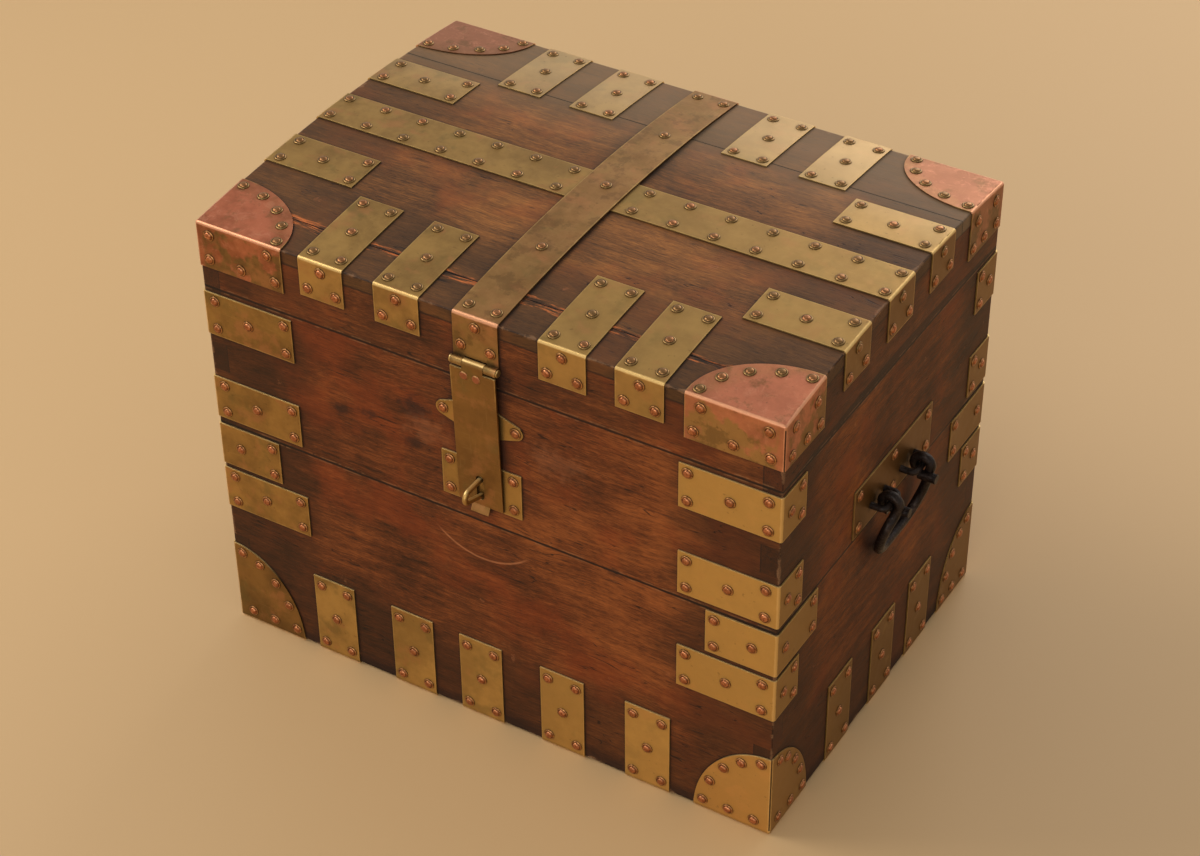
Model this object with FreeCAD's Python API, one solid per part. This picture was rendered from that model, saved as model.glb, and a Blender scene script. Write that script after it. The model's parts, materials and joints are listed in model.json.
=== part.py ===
import FreeCAD, Part
import math
import os
from FreeCAD import Vector

# Wooden trunk with a crowned lid, bound in riveted sheet brass. Millimetres, Z up.
# It is drawn about the middle of the wooden box, on the floor, and the front faces -Y.

# Box
overall_width = 635.0
overall_depth = 450.0
seam_z = 424.0
lid_height = 74.0
crown = 12.0
sheet = 1.5
wall = 20.0
top_board = 14.0
floor_board = 18.0
edge_round = 1.5
board_gap = 0.8
upper_board = 165.0
lid_front_board = 46.0
lid_rear_board = 94.0
lid_fingers = 3
upper_fingers = 5
lower_fingers = 7

# Straps and caps
strip = 50.0
lid_strap_top = 104.0
lid_strap_flap = 43.0
lid_strap_cap_gap = 20.5
side_strap_flap = 45.0
cross_strap_width = 52.0
cross_strap_flap = 48.0
cap_width = 100.0
cap_depth = 75.0
cap_flap = 50.0
cap_slit = 1.4
slit_reach = 12.0
slit_stop = 5.0
corner_strap_front = (105.0, 105.0, 75.0, 105.0)
corner_strap_side = (46.0, 46.0, 80.0, 46.0)
corner_seam_gap = 6.0
corner_middle_gap = 9.0
corner_low_gap = 6.0
foot_height = 100.0
foot_under = 42.0
foot_cap_width = 84.0
foot_cap_depth = 76.0

# Places that are shares of the room between neighbours
lid_front_left_share = 0.51
lid_front_right_share = 0.551
corner_open_share = 0.505
front_foot_shares = (-0.809, -0.398, -0.047, 0.360, 0.775)
side_foot_shares = (-0.557, 0.081, 0.644)

# Rivets on roves
shank_r = 1.9
shank_in_wood = 10.0
hole_clear = 0.4
rove_r = 6.1
rove_h = 1.3
button_r = 4.0
button_h = 1.6
rove_bevel = 1.1
rivet_side = 16.0
rivet_inset = 9.0

# Rivet places: insets from a fold or an end, and angles along the caps' curved edges
fold_inset = 13.0
strap_middle_inset = 53.0
flap_high = 11.0
flap_low = 33.0
side_flap_high = 12.0
side_flap_low = 36.0
cross_flap_low = 38.0
cross_rivet_hasp_gap = 17.5
cross_rivet_end = 10.3
cross_rivet_count = 7
cross_rivet_row = 17.0
cap_angles = (8.0, 28.0, 47.0, 66.0, 84.0)
cap_flap_high = 12.0
cap_flap_low = 40.0
cap_high_shares_x = (0.16, 0.84)
cap_low_shares_x = (0.14, 0.51, 0.91)
cap_high_shares_y = (0.25, 0.79)
cap_low_shares_y = (0.18, 0.55, 0.88)
corner_fold_inset = 14.0
corner_short_inset = 26.0
corner_side_inset = 17.0
foot_rivet_low = 13.0
foot_rivet_top = 11.0
foot_cap_angles_x = (8.0, 27.0, 46.0, 64.0, 81.0)
foot_cap_angles_y = (8.0, 26.0, 44.0, 61.0, 76.0)
foot_cap_low_shares = (0.214, 0.548)
leaf_high = 22.0
leaf_middle = 51.0
leaf_low = 79.0
hasp_rivet_side = 15.0
hasp_end_inset = 14.0
hasp_top_rivet_y = (-110.0, 6.0, 118.0)
hasp_flap_clear = 12.0

# Lid hinges
hinge_r = 5.0
hinge_pin_r = 2.5
hinge_leaf = 90.0
hinge_knuckles = 5
running = 0.05
side_gap = 0.35
body_gap = 0.3
leaf_clear = 0.6
knuckle_lap = 4.0
pin_head = 1.5
pin_head_step = 0.8

# Hasp
hasp_sheet = 2.0
hasp_lift = 0.1
hasp_clear = 0.5
hasp_lap = 2.0
hasp_rest = 0.15
hasp_width = 49.0
hasp_axis_rise = 23.0
hasp_r = 4.5
hasp_pin_r = 2.0
hasp_mid = 23.0
hasp_length = 165.0
hasp_slot_end = 7.0
hasp_slot_length = 29.0
hasp_slot_width = 8.0
hasp_lip_width = 20.0
hasp_lip_drop = 7.0
hasp_lip_out = 4.0
hasp_rivet_x = (-9.5, 4.0)
hasp_rivet_drop = 12.0
hasp_rivet_r = 4.6
hasp_rivet_top_r = 3.6
hasp_rivet_h = 0.9

# Staple, staple plate and backing plate
staple_r = 2.75
staple_slot_top = 5.0
staple_slot_low = 4.0
staple_reach = 23.0
staple_nose = 6.0
staple_in_wood = 16.0
staple_plate_width = 89.0
staple_plate_low = 2.0
staple_plate_height = 52.0
backing_half = 40.0
backing_rise = 22.0
backing_end_r = 8.0
backing_drop = 42.0

# Handles
handle_y = 8.0
handle_plate = (166.0, 57.0)
handle_plate_rise = 32.0
handle_rivet_y = (-73.0, 0.0, 73.0)
handle_rivet_z = 19.0
bail_r = 5.0
bail_half = 35.0
bail_drop = 66.0
bail_corner = 30.0
bail_swell = 12.0
bail_swell_drop = 28.0
bail_wrap = 262.0
bail_stub_reach = 18.0
bail_stub_side = 5.5
bail_gap = 1.5
handle_pin_r = 3.5
handle_pin_stand = 15.0
handle_pin_drop = 10.0
handle_pin_bend = 5.0
handle_pin_inner = 17.5
handle_pin_outer = 12.0

# Derived sizes
hw = overall_width / 2.0 - sheet
hd = overall_depth / 2.0 - sheet
out_w = hw + sheet
out_d = hd + sheet
lid_edge_z = seam_z + lid_height
wood_edge_z = lid_edge_z - sheet
crown_r = (hd * hd + crown * crown) / (2.0 * crown)
crown_c = wood_edge_z + crown - crown_r
far = 2000.0
lid_joint_front_y = -out_d + lid_front_board
lid_joint_rear_y = out_d - lid_rear_board
board_joint_z = seam_z - upper_board
hasp_axis_z = seam_z + hasp_axis_rise
hasp_bottom_z = hasp_axis_z - hasp_length
hasp_slot_low = hasp_bottom_z + hasp_slot_end
hasp_slot_high = hasp_slot_low + hasp_slot_length
staple_top_z = hasp_slot_high - staple_slot_top
staple_low_z = hasp_slot_low + staple_slot_low
staple_plate_z = (hasp_bottom_z - staple_plate_low, hasp_bottom_z - staple_plate_low + staple_plate_height)
backing_z = seam_z - backing_drop
handle_plate_z = board_joint_z + handle_plate_rise
handle_pin_z = handle_plate_z - handle_pin_drop

# Lid straps stand between the caps and the hasp, and side straps midway from cap to cross strap
outer_strap_x = out_w - cap_width - lid_strap_cap_gap - strip / 2.0
hasp_edge = hasp_width / 2.0
strap_room = outer_strap_x - strip / 2.0 - hasp_edge
inner_left_x = hasp_edge + lid_front_left_share * strap_room
inner_right_x = hasp_edge + lid_front_right_share * strap_room
lid_front_strap_x = (-outer_strap_x, -inner_left_x, inner_right_x, outer_strap_x)
lid_back_strap_x = (-inner_left_x, inner_left_x)
hinge_x = (-outer_strap_x, outer_strap_x)
side_strap_mid = (cross_strap_width / 2.0 + out_d - cap_depth) / 2.0
lid_side_strap_y = (-side_strap_mid, side_strap_mid)
cross_rivet_first = hasp_edge + cross_rivet_hasp_gap
cross_rivet_pitch = (out_w - cross_rivet_end - cross_rivet_first) / (cross_rivet_count - 1)

# Corner straps are stacked from the seam down and from the caps up, with an open stretch left between
corner_top_z = seam_z - corner_seam_gap - strip / 2.0
corner_gaps = corner_seam_gap + corner_middle_gap + corner_low_gap
corner_open = seam_z - foot_height - 4.0 * strip - corner_gaps
corner_bottom_z = foot_height + (1.0 - corner_open_share) * corner_open + strip / 2.0
corner_third_z = corner_bottom_z + strip + corner_low_gap
corner_second_z = corner_third_z + strip + corner_middle_gap
corner_strap_z = (corner_top_z, corner_second_z, corner_third_z, corner_bottom_z)
front_foot_x = [share * (out_w - foot_cap_width) for share in front_foot_shares]
side_foot_y = [share * (out_d - foot_cap_depth) for share in side_foot_shares]

rivets = {"lid": [], "chest": []}
nodes = {}


def box(x0, x1, y0, y1, z0, z1):
    return Part.makeBox(x1 - x0, y1 - y0, z1 - z0, Vector(x0, y0, z0))


def fuse(shapes):
    whole = shapes[0]
    if len(shapes) > 1:
        whole = whole.multiFuse(shapes[1:])
    return whole.removeSplitter()


def prism_yz(points, x0, x1):
    wire = Part.makePolygon([Vector(x0, y, z) for y, z in points + points[:1]])
    return Part.Face(wire).extrude(Vector(x1 - x0, 0, 0))


def crown_prism(half_w, half_d, base_z, centre_z, radius):
    edge = centre_z + math.sqrt(radius * radius - half_d * half_d)
    left = Vector(-half_w, -half_d, edge)
    middle = Vector(-half_w, 0, centre_z + radius)
    right = Vector(-half_w, half_d, edge)
    low_right = Vector(-half_w, half_d, base_z)
    low_left = Vector(-half_w, -half_d, base_z)
    outline = Part.Wire([
        Part.Arc(left, middle, right).toShape(),
        Part.makeLine(right, low_right),
        Part.makeLine(low_right, low_left),
        Part.makeLine(low_left, left),
    ])
    return Part.Face(outline).extrude(Vector(2.0 * half_w, 0, 0))


def lid_block(grow):
    solid = crown_prism(hw + grow, hd + grow, seam_z, crown_c, crown_r + grow)
    edges = [e for e in solid.Edges if e.BoundBox.ZMax > seam_z + 1.0]
    return solid.makeFillet(edge_round + grow, edges)


def chest_block(grow):
    solid = box(-hw - grow, hw + grow, -hd - grow, hd + grow, sheet - grow, seam_z)
    edges = [e for e in solid.Edges if e.BoundBox.ZMin < seam_z - 1.0]
    return solid.makeFillet(edge_round + grow, edges)


def ellipse_prism(centre, along, across, half_along, half_across, depth):
    major = max(half_along, half_across)
    minor = min(half_along, half_across)
    first = along if half_along >= half_across else across
    second = across if half_along >= half_across else along
    curve = Part.Ellipse(centre + first * major, centre + second * minor, centre)
    return Part.Face(Part.Wire(curve.toShape())).extrude(depth)


# Rivets

def rivet_shape(under):
    top = rove_h + button_h
    points = [Vector(0, 0, -under), Vector(shank_r, 0, -under), Vector(shank_r, 0, 0),
              Vector(rove_r, 0, 0), Vector(rove_r - rove_bevel, 0, rove_h), Vector(button_r, 0, rove_h)]
    edges = [Part.makeLine(a, b) for a, b in zip(points, points[1:])]
    ball_r = (button_r * button_r + button_h * button_h) / (2.0 * button_h)
    half = math.asin(button_r / ball_r) / 2.0
    shoulder = Vector(ball_r * math.sin(half), 0, top - ball_r * (1.0 - math.cos(half)))
    edges.append(Part.Arc(points[-1], shoulder, Vector(0, 0, top)).toShape())
    edges.append(Part.makeLine(Vector(0, 0, top), points[0]))
    return Part.Face(Part.Wire(edges)).revolve(Vector(0, 0, 0), Vector(0, 0, 1), 360)


def add_rivet(body, point, normal):
    rivets[body].append((point, normal))


def top_rivet(x, y, centre_z=crown_c, radius=crown_r + sheet):
    z = centre_z + math.sqrt(radius * radius - y * y)
    add_rivet("lid", Vector(x, y, z), Vector(0, y, z - centre_z).normalize())


def front_rivet(body, x, z, face=out_d):
    add_rivet(body, Vector(x, -face, z), Vector(0, -1, 0))


def back_rivet(body, x, z, face=out_d):
    add_rivet(body, Vector(x, face, z), Vector(0, 1, 0))


def side_rivet(body, side, y, z):
    add_rivet(body, Vector(side * out_w, y, z), Vector(side, 0, 0))


def end_rivet(body, end, x, z, face=out_d):
    if end < 0:
        front_rivet(body, x, z, face)
    else:
        back_rivet(body, x, z, face)


# Boards

def finger_bounds(z0, z1, count):
    step = (z1 - z0) / count
    return [(z0 + i * step, z0 + (i + 1) * step) for i in range(count)]


def wall_boards(block, z0, z1, count):
    bounds = finger_bounds(z0, z1, count)
    side_fingers = [b for i, b in enumerate(bounds) if i % 2 == 0]
    front_fingers = [b for i, b in enumerate(bounds) if i % 2 == 1]
    boards = {}
    for name, y0, y1 in (("front", -far, -hd + wall), ("back", hd - wall, far)):
        board = block.common(box(-far, far, y0, y1, z0, z1))
        notches = []
        for a, b in side_fingers:
            notches.append(box(-far, -hw + wall, y0, y1, a, b))
            notches.append(box(hw - wall, far, y0, y1, a, b))
        boards[name] = board.cut(Part.makeCompound(notches))
    for name, x0, x1 in (("left", -far, -hw + wall), ("right", hw - wall, far)):
        board = block.common(box(x0, x1, -far, far, z0, z1))
        notches = []
        for a, b in front_fingers:
            notches.append(box(x0, x1, -far, -hd + wall, a, b))
            notches.append(box(x0, x1, hd - wall, far, a, b))
        boards[name] = board.cut(Part.makeCompound(notches))
    return boards


lid_wood = lid_block(0.0)
chest_wood = chest_block(0.0)
lid_skin = lid_block(sheet).cut(lid_wood)
chest_skin = chest_block(sheet).cut(chest_wood)

under_top = crown_prism(far / 2.0, hd, seam_z, crown_c, crown_r - top_board)
lid_top = lid_wood.cut(under_top)
lid_frame = lid_wood.common(under_top)
half_gap = board_gap / 2.0
nodes["lid_top_front_board"] = [lid_top.common(
    box(-far, far, -far, lid_joint_front_y - half_gap, 0, far))]
nodes["lid_top_middle_board"] = [lid_top.common(
    box(-far, far, lid_joint_front_y + half_gap, lid_joint_rear_y - half_gap, 0, far))]
nodes["lid_top_rear_board"] = [lid_top.common(
    box(-far, far, lid_joint_rear_y + half_gap, far, 0, far))]

lid_rail_top = crown_c + crown_r - top_board
for name, board in wall_boards(lid_frame, seam_z, lid_rail_top, lid_fingers).items():
    nodes["lid_" + name + "_rail"] = [board]
for name, board in wall_boards(chest_wood, board_joint_z, seam_z, upper_fingers).items():
    nodes["chest_" + name + "_upper_board"] = [board]
for name, board in wall_boards(chest_wood, sheet, board_joint_z, lower_fingers).items():
    nodes["chest_" + name + "_lower_board"] = [board]

floor_depth = 2.0 * (hd - wall)
plank = (floor_depth - 2.0 * board_gap) / 3.0
nodes["chest_bottom_boards"] = []
for i in range(3):
    y0 = -hd + wall + i * (plank + board_gap)
    nodes["chest_bottom_boards"].append(
        box(-hw + wall, hw - wall, y0, y0 + plank, sheet, sheet + floor_board))


# Lid straps

def short_strap_rivets(end, x):
    top_rivet(x - rivet_side, end * (out_d - fold_inset))
    top_rivet(x + rivet_side, end * (out_d - fold_inset))
    top_rivet(x, end * (out_d - strap_middle_inset))
    top_rivet(x - rivet_side, end * (out_d - lid_strap_top + rivet_inset))
    top_rivet(x + rivet_side, end * (out_d - lid_strap_top + rivet_inset))
    end_rivet("lid", end, x, lid_edge_z - flap_high)
    end_rivet("lid", end, x - rivet_side, lid_edge_z - flap_low)
    end_rivet("lid", end, x + rivet_side, lid_edge_z - flap_low)


def lid_end_strap(end, x):
    y0, y1 = sorted((end * far, end * (out_d - lid_strap_top)))
    short_strap_rivets(end, x)
    return lid_skin.common(
        box(x - strip / 2, x + strip / 2, y0, y1, lid_edge_z - lid_strap_flap, far))


def lid_side_strap(side, y):
    x0, x1 = sorted((side * far, side * (out_w - lid_strap_top)))
    for dy in (-rivet_side, rivet_side):
        top_rivet(side * (out_w - fold_inset), y + dy)
        top_rivet(side * (out_w - lid_strap_top + rivet_inset), y + dy)
    top_rivet(side * (out_w - strap_middle_inset), y)
    rise = math.sqrt(crown_r * crown_r - y * y) + crown_c - wood_edge_z
    flap_z = lid_edge_z + rise
    side_rivet("lid", side, y, flap_z - side_flap_high)
    side_rivet("lid", side, y - rivet_side, flap_z - side_flap_low)
    side_rivet("lid", side, y + rivet_side, flap_z - side_flap_low)
    return lid_skin.common(
        box(x0, x1, y - strip / 2, y + strip / 2, flap_z - side_strap_flap, far))


nodes["lid_front_straps"] = [lid_end_strap(-1, x) for x in lid_front_strap_x]
nodes["lid_back_straps"] = [lid_end_strap(1, x) for x in lid_back_strap_x]
nodes["lid_left_straps"] = [lid_side_strap(-1, y) for y in lid_side_strap_y]
nodes["lid_right_straps"] = [lid_side_strap(1, y) for y in lid_side_strap_y]

cross_top = lid_edge_z + crown
nodes["lid_cross_strap"] = [lid_skin.common(
    box(-far, far, -cross_strap_width / 2, cross_strap_width / 2, cross_top - cross_strap_flap, far))]
for side in (-1, 1):
    for i in range(cross_rivet_count):
        for row in (-cross_rivet_row, cross_rivet_row):
            top_rivet(side * (cross_rivet_first + i * cross_rivet_pitch), row)
    side_rivet("lid", side, 0.0, cross_top - side_flap_high)
    side_rivet("lid", side, -cross_rivet_row, cross_top - cross_flap_low)
    side_rivet("lid", side, cross_rivet_row, cross_top - cross_flap_low)


# Lid corner caps

def corner_slit(side, end, z0, z1):
    slit = box(-cap_slit / 2, cap_slit / 2, -slit_reach, slit_reach, z0, z1)
    slit.rotate(Vector(0, 0, 0), Vector(0, 0, 1), -45.0 * side * end)
    slit.translate(Vector(side * hw, end * hd, 0))
    return slit


def cap_reach(side, end, z):
    bend = edge_round + 2.0 * sheet
    far_x = side * (out_w + bend)
    far_y = end * (out_d + bend)
    tip_x = Vector(side * (out_w - cap_width), end * (out_d - bend), z)
    tip_y = Vector(side * (out_w - bend), end * (out_d - cap_depth), z)
    centre = Vector(tip_y.x, tip_x.y, z)
    curve = Part.ArcOfEllipse(Part.Ellipse(tip_x, tip_y, centre), 0, math.pi / 2.0)
    outline = Part.Wire([
        Part.makeLine(Vector(tip_x.x, far_y, z), tip_x),
        curve.toShape(),
        Part.makeLine(tip_y, Vector(far_x, tip_y.y, z)),
        Part.makeLine(Vector(far_x, tip_y.y, z), Vector(far_x, far_y, z)),
        Part.makeLine(Vector(far_x, far_y, z), Vector(tip_x.x, far_y, z)),
    ])
    return Part.Face(outline).extrude(Vector(0, 0, far))


def lid_cap(side, end):
    cap = lid_skin.common(cap_reach(side, end, lid_edge_z - cap_flap))
    cap = cap.cut(corner_slit(side, end, lid_edge_z - 2.0 * cap_flap, lid_edge_z - slit_stop))
    for angle in cap_angles:
        a = math.radians(angle)
        dx = (cap_width - rivet_inset) * math.cos(a)
        dy = (cap_depth - rivet_inset) * math.sin(a)
        top_rivet(side * (out_w - dx), end * (out_d - dy))
    for dz, shares_x, shares_y in ((cap_flap_high, cap_high_shares_x, cap_high_shares_y),
                                   (cap_flap_low, cap_low_shares_x, cap_low_shares_y)):
        for share in shares_x:
            end_rivet("lid", end, side * (out_w - share * cap_width), lid_edge_z - dz)
        for share in shares_y:
            side_rivet("lid", side, end * (out_d - share * cap_depth), lid_edge_z - dz)
    return cap


for end, end_name in ((-1, "front"), (1, "back")):
    for side, side_name in ((-1, "left"), (1, "right")):
        nodes["lid_cap_" + end_name + "_" + side_name] = [lid_cap(side, end)]


# Lid hinges

hinge_y = hd + body_gap + hinge_r
knuckle = (strip - (hinge_knuckles - 1) * side_gap) / hinge_knuckles
leaf_stop = hinge_r + leaf_clear


def barrel(x0, x1, y, z, radius):
    return Part.makeCylinder(radius, x1 - x0, Vector(x0, y, z), Vector(1, 0, 0))


def hinge_half(leaf, x, picks, reach_z):
    shapes = [leaf]
    for i in picks:
        x0 = x - strip / 2 + i * (knuckle + side_gap)
        z0, z1 = sorted((seam_z, reach_z))
        shapes.append(box(x0, x0 + knuckle, hd, hd + sheet, z0, z1))
        shapes.append(barrel(x0, x0 + knuckle, hinge_y, seam_z, hinge_r))
    half = fuse(shapes)
    half = half.cut(barrel(x - strip, x + strip, hinge_y, seam_z, hinge_pin_r + running))
    return half.cut(box(x - strip, x + strip, 0, hd, 0, seam_z + leaf_stop))


nodes["lid_hinge_straps"] = []
nodes["chest_hinge_leaves"] = []
nodes["hinge_pins"] = []
for x in hinge_x:
    strap = lid_skin.common(
        box(x - strip / 2, x + strip / 2, out_d - lid_strap_top, far, seam_z + leaf_stop, far))
    short_strap_rivets(1, x)
    nodes["lid_hinge_straps"].append(hinge_half(strap, x, (1, 3), seam_z + leaf_stop + knuckle_lap))
    leaf = box(x - strip / 2, x + strip / 2, hd, out_d, seam_z - hinge_leaf, seam_z - leaf_stop)
    nodes["chest_hinge_leaves"].append(hinge_half(leaf, x, (0, 2, 4), seam_z - leaf_stop - knuckle_lap))
    for dx in (-rivet_side, rivet_side):
        back_rivet("chest", x + dx, seam_z - leaf_high)
        back_rivet("chest", x + dx, seam_z - leaf_low)
    back_rivet("chest", x, seam_z - leaf_middle)
    pin = barrel(x - strip / 2, x + strip / 2, hinge_y, seam_z, hinge_pin_r)
    head_r = hinge_r - pin_head_step
    heads = [barrel(x - strip / 2 - pin_head, x - strip / 2, hinge_y, seam_z, head_r),
             barrel(x + strip / 2, x + strip / 2 + pin_head, hinge_y, seam_z, head_r)]
    nodes["hinge_pins"].append(fuse([pin] + heads))

# Hasp strap over the crown, bridging the cross strap

hasp_rise = crown + sheet + hasp_lift
hasp_arc_r = (hd * hd + hasp_rise * hasp_rise) / (2.0 * hasp_rise)
hasp_arc_c = wood_edge_z + hasp_rise - hasp_arc_r


def hasp_strap_block(grow):
    solid = crown_prism(strip, hd + grow, seam_z, hasp_arc_c, hasp_arc_r + grow)
    edges = [e for e in solid.Edges
             if e.BoundBox.ZMin > seam_z + 1.0 and e.BoundBox.XLength > strip]
    return solid.makeFillet(edge_round + grow, edges)


hasp_y = -(hd + body_gap + hasp_r)
hasp_half = hasp_width / 2
mid_half = hasp_mid / 2
strap_low = hasp_axis_z + hasp_r + hasp_clear
strap_shell = hasp_strap_block(hasp_sheet).cut(hasp_strap_block(0.0))
strap_bar = strap_shell.common(box(-hasp_half, hasp_half, -far, 0, strap_low, far))
strap_rear = strap_shell.common(
    box(-hasp_half, hasp_half, 0, far, lid_edge_z - lid_strap_flap, far))
strap_parts = [strap_bar, strap_rear]
for x0, x1 in ((-hasp_half, -mid_half - side_gap), (mid_half + side_gap, hasp_half)):
    strap_parts.append(box(x0, x1, -hd - hasp_sheet, -hd, hasp_axis_z, strap_low + hasp_lap))
    strap_parts.append(barrel(x0, x1, hasp_y, hasp_axis_z, hasp_r))
hasp_bore = barrel(-far, far, hasp_y, hasp_axis_z, hasp_pin_r + running)
nodes["hasp_strap"] = [fuse(strap_parts).cut(hasp_bore)]
hasp_top_rivets = [(0.0, y) for y in hasp_top_rivet_y]
for x in (-hasp_rivet_side, hasp_rivet_side):
    hasp_top_rivets.append((x, -out_d + hasp_end_inset))
    hasp_top_rivets.append((x, out_d - hasp_end_inset))
for x, y in hasp_top_rivets:
    top_rivet(x, y, hasp_arc_c, hasp_arc_r + hasp_sheet)
for end in (-1, 1):
    end_rivet("lid", end, 0.0, lid_edge_z - flap_high, hd + hasp_sheet)
    for x in (-rivet_side, rivet_side):
        end_rivet("lid", end, x, strap_low + hasp_flap_clear, hd + hasp_sheet)

# Hasp plate, leaning in from its hinge to rest on the staple plate

plate_top_z = hasp_axis_z - hasp_r - hasp_clear
plate_top_y = hasp_y - hasp_r
plate_low_y = -(out_d + hasp_rest) - hasp_sheet
plate_lean = (plate_low_y - plate_top_y) / (plate_top_z - hasp_bottom_z)


def plate_out_y(z):
    return plate_top_y + plate_lean * (plate_top_z - z)


def plate_band(x_half, z_high, z_low):
    return prism_yz([(plate_out_y(z_high), z_high), (plate_out_y(z_high) + hasp_sheet, z_high),
                     (plate_out_y(z_low) + hasp_sheet, z_low), (plate_out_y(z_low), z_low)],
                    -x_half, x_half)


lip_top_z = hasp_bottom_z + hasp_clear
lip = prism_yz([(plate_low_y, lip_top_z), (plate_low_y + hasp_sheet, lip_top_z),
                (plate_low_y + hasp_sheet - hasp_lip_out, hasp_bottom_z - hasp_lip_drop),
                (plate_low_y - hasp_lip_out, hasp_bottom_z - hasp_lip_drop)],
               -hasp_lip_width / 2, hasp_lip_width / 2)
plate = fuse([plate_band(hasp_half, plate_top_z, hasp_bottom_z),
              box(-mid_half, mid_half, plate_top_y, plate_top_y + hasp_sheet, plate_top_z - hasp_lap,
                  hasp_axis_z),
              barrel(-mid_half, mid_half, hasp_y, hasp_axis_z, hasp_r), lip])
slot_half = hasp_slot_width / 2
slot = fuse([box(-slot_half, slot_half, -far, 0, hasp_slot_low + slot_half, hasp_slot_high - slot_half),
             Part.makeCylinder(slot_half, far, Vector(0, 0, hasp_slot_low + slot_half), Vector(0, -1, 0)),
             Part.makeCylinder(slot_half, far, Vector(0, 0, hasp_slot_high - slot_half), Vector(0, -1, 0))])
plate = plate.cut(hasp_bore).cut(slot)
plate_normal = Vector(0, -1, -plate_lean).normalize()
nodes["hasp_rivets"] = []
for x in hasp_rivet_x:
    z = hasp_axis_z - hasp_rivet_drop
    seat = Vector(x, plate_out_y(z), z)
    hole = Part.makeCylinder(shank_r + hole_clear, 2.0 * hasp_sheet, seat + plate_normal, -plate_normal)
    plate = plate.cut(hole)
    head = Part.makeCone(hasp_rivet_r, hasp_rivet_top_r, hasp_rivet_h, seat, plate_normal)
    shank = Part.makeCylinder(shank_r, hasp_sheet, seat, -plate_normal)
    nodes["hasp_rivets"].append(fuse([head, shank]))
nodes["hasp_plate"] = [plate]
pin_end = hasp_half + pin_head
head_r = hasp_r - pin_head_step
nodes["hasp_pin"] = [fuse([barrel(-hasp_half, hasp_half, hasp_y, hasp_axis_z, hasp_pin_r),
                           barrel(-pin_end, -hasp_half, hasp_y, hasp_axis_z, head_r),
                           barrel(hasp_half, pin_end, hasp_y, hasp_axis_z, head_r)])]

# Staple plate, staple and the backing plate, which tapers to its two round ends

half_plate = staple_plate_width / 2
staple_plate = box(-half_plate, half_plate, -out_d, -hd, staple_plate_z[0], staple_plate_z[1])
for dx in (-half_plate + rivet_inset, half_plate - rivet_inset):
    for z in (staple_plate_z[0] + rivet_inset, staple_plate_z[1] - rivet_inset):
        front_rivet("chest", dx, z)

taper = math.atan2(backing_rise, backing_half)
taper -= math.asin(backing_end_r / math.hypot(backing_rise, backing_half))
touch_x = backing_half + backing_end_r * math.sin(taper)
touch_z = backing_end_r * math.cos(taper)
outline = [Vector(x, -hd, backing_z + z) for x, z in (
    (0, backing_rise), (touch_x, touch_z), (touch_x, -touch_z),
    (0, -backing_rise), (-touch_x, -touch_z), (-touch_x, touch_z))]
backing = [Part.Face(Part.makePolygon(outline + outline[:1])).extrude(Vector(0, -sheet, 0))]
for dx in (-backing_half, backing_half):
    backing.append(Part.makeCylinder(backing_end_r, sheet, Vector(dx, -hd, backing_z), Vector(0, -1, 0)))
    front_rivet("chest", dx, backing_z)
nodes["hasp_backing_plate"] = [fuse(backing)]


def rod(edges, radius):
    path = Part.Wire(edges)
    first = path.OrderedEdges[0]
    start = first.valueAt(first.FirstParameter)
    heading = first.tangentAt(first.FirstParameter)
    ring = Part.Wire(Part.makeCircle(radius, start, heading))
    return path.makePipeShell([ring], True, False)


nose_z = staple_top_z - staple_nose
nose_y = -out_d - staple_reach
root_low = Vector(0, -out_d, staple_low_z)
dy = nose_y - root_low.y
dz = nose_z - root_low.z
slope = math.atan2(dz, -dy) - math.asin(staple_nose / math.hypot(dy, dz))
touch_low = Vector(0, nose_y - staple_nose * math.sin(slope), nose_z - staple_nose * math.cos(slope))
tip_turn = slope / 2.0
nose_mid = Vector(0, nose_y - staple_nose * math.cos(tip_turn), nose_z + staple_nose * math.sin(tip_turn))
top_turn = Vector(0, nose_y, staple_top_z)
inner_top = Vector(0, -hd + staple_in_wood, staple_top_z)
inner_low = root_low + (root_low - touch_low).normalize() * (sheet + staple_in_wood)
staple_arc = Part.Arc(top_turn, nose_mid, touch_low).toShape()
staple = rod([Part.makeLine(inner_top, top_turn), staple_arc, Part.makeLine(touch_low, inner_low)], staple_r)
nodes["staple"] = [staple]
nodes["staple_plate"] = [staple_plate.cut(staple)]
for name in ("chest_front_upper_board", "chest_front_lower_board"):
    nodes[name] = [nodes[name][0].cut(staple)]


# Corner straps, foot straps and bottom caps

def corner_straps(side, end):
    straps = []
    for z, front, flank in zip(corner_strap_z, corner_strap_front, corner_strap_side):
        x0, x1 = sorted((side * (out_w - front), side * far))
        y0, y1 = sorted((end * (out_d - flank), end * far))
        straps.append(chest_skin.common(box(x0, x1, y0, y1, z - strip / 2, z + strip / 2)))
        for dz in (-rivet_side, rivet_side):
            end_rivet("chest", end, side * (out_w - front + rivet_inset), z + dz)
            side_rivet("chest", side, end * (out_d - flank + rivet_inset), z + dz)
        if front == max(corner_strap_front):
            end_rivet("chest", end, side * (out_w - front / 2), z)
            for dz in (-rivet_side, rivet_side):
                end_rivet("chest", end, side * (out_w - corner_fold_inset), z + dz)
        else:
            end_rivet("chest", end, side * (out_w - corner_short_inset), z)
        side_rivet("chest", side, end * (out_d - corner_side_inset), z)
    return straps


def foot_rivet_places(middle):
    top = foot_height - foot_rivet_top
    return [(middle - rivet_side, foot_rivet_low), (middle + rivet_side, foot_rivet_low),
            (middle, foot_height / 2), (middle - rivet_side, top), (middle + rivet_side, top)]


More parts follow.
